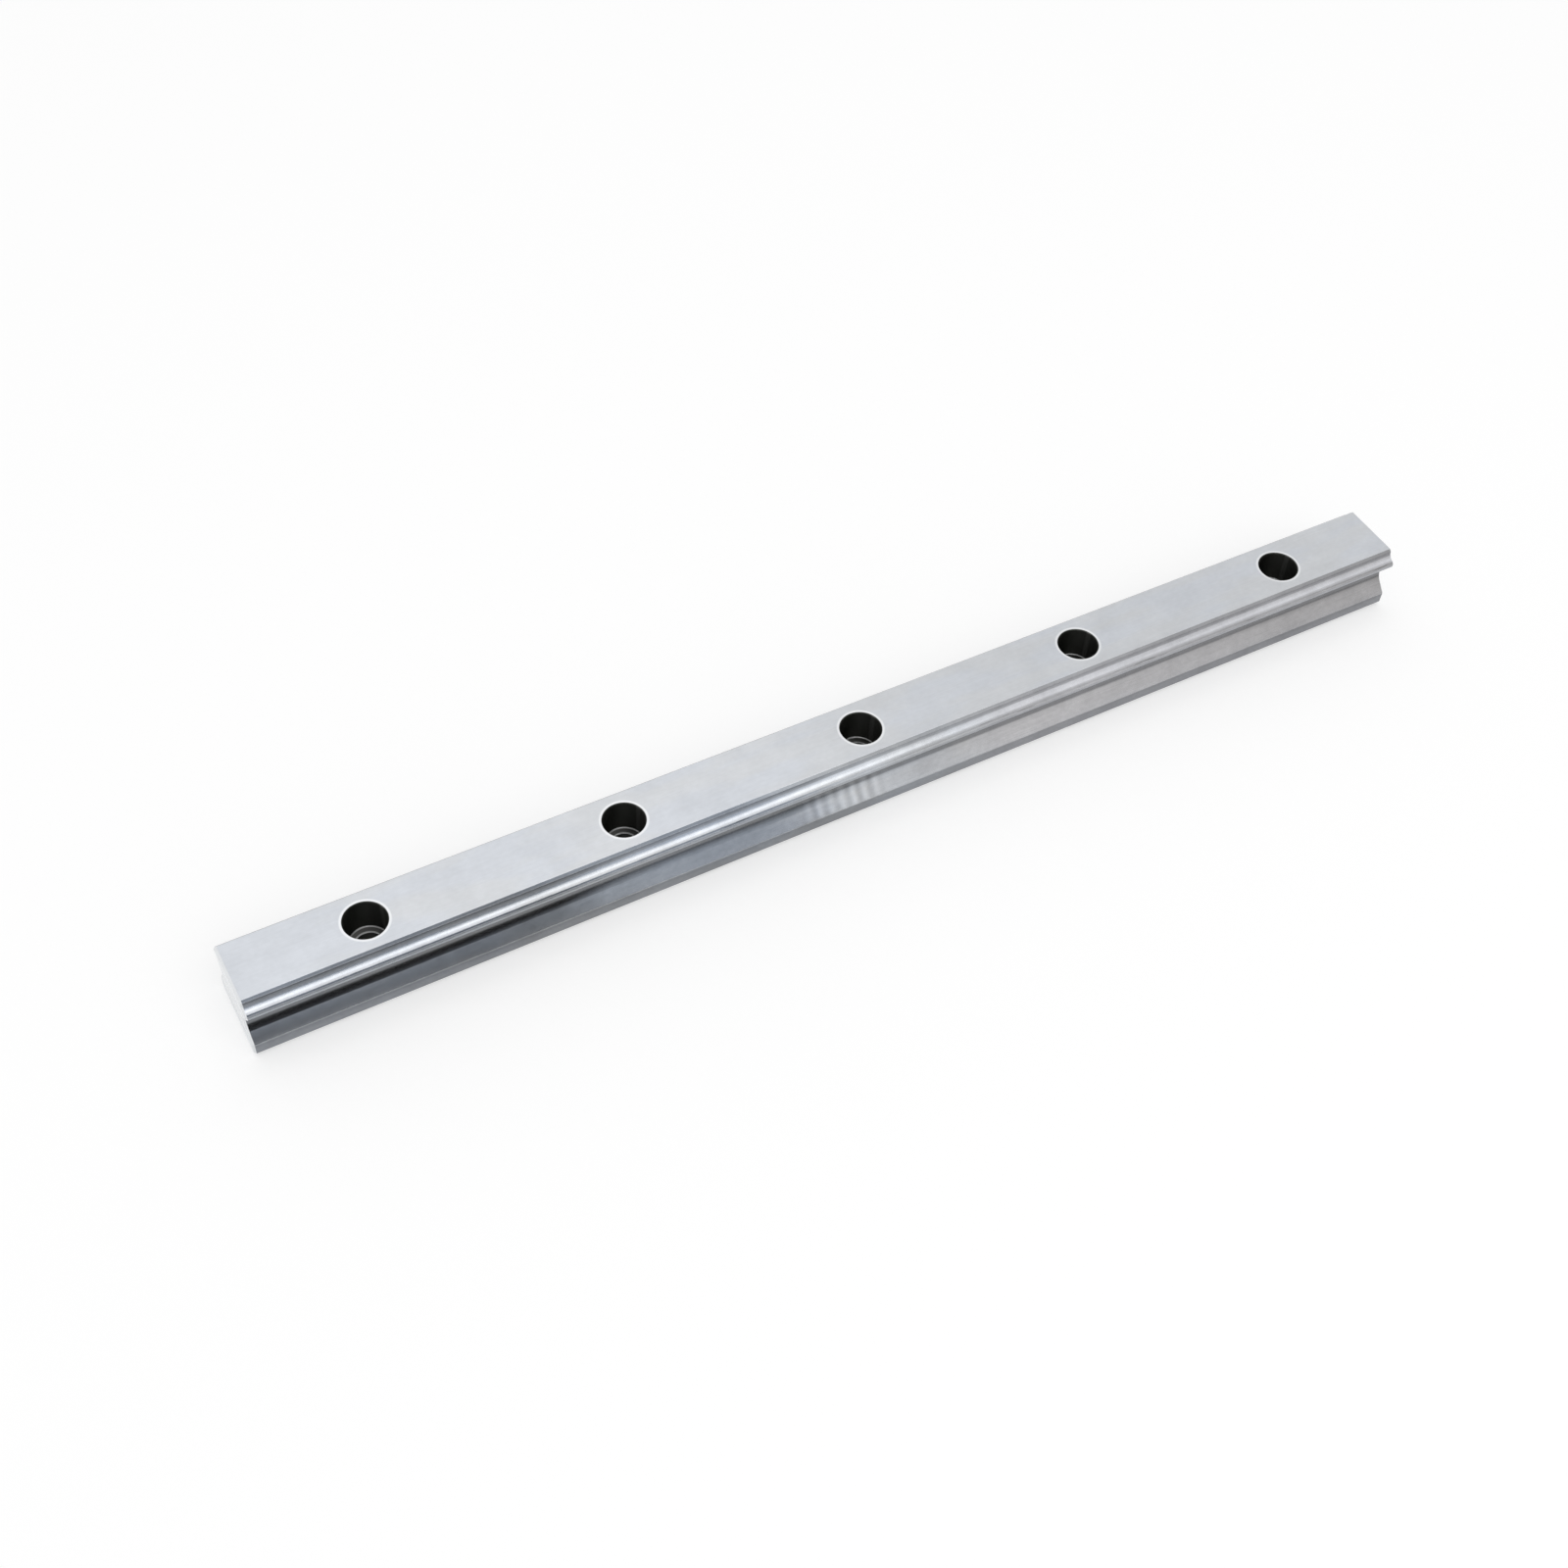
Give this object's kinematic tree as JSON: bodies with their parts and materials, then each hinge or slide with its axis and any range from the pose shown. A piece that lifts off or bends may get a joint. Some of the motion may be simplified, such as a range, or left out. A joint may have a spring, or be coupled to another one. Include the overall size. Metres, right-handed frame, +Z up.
{
  "type": "profile linear guide rail",
  "caption": "Ground steel linear guide rail with concave ball grooves along both sides of its head and counterbored screw holes through its top.",
  "frame": {"origin": "middle of the mounting face, under the middle screw hole", "axes": "+X along the rail, +Y across it, +Z up from the mounting face to the top land"},
  "size_m": [0.3, 0.02, 0.0175],
  "materials": {
    "ground_steel": "finely ground bearing steel, lightly oiled"
  },
  "bodies": {
    "root": {"guide_rail": "ground_steel"}
  },
  "joints": []
}
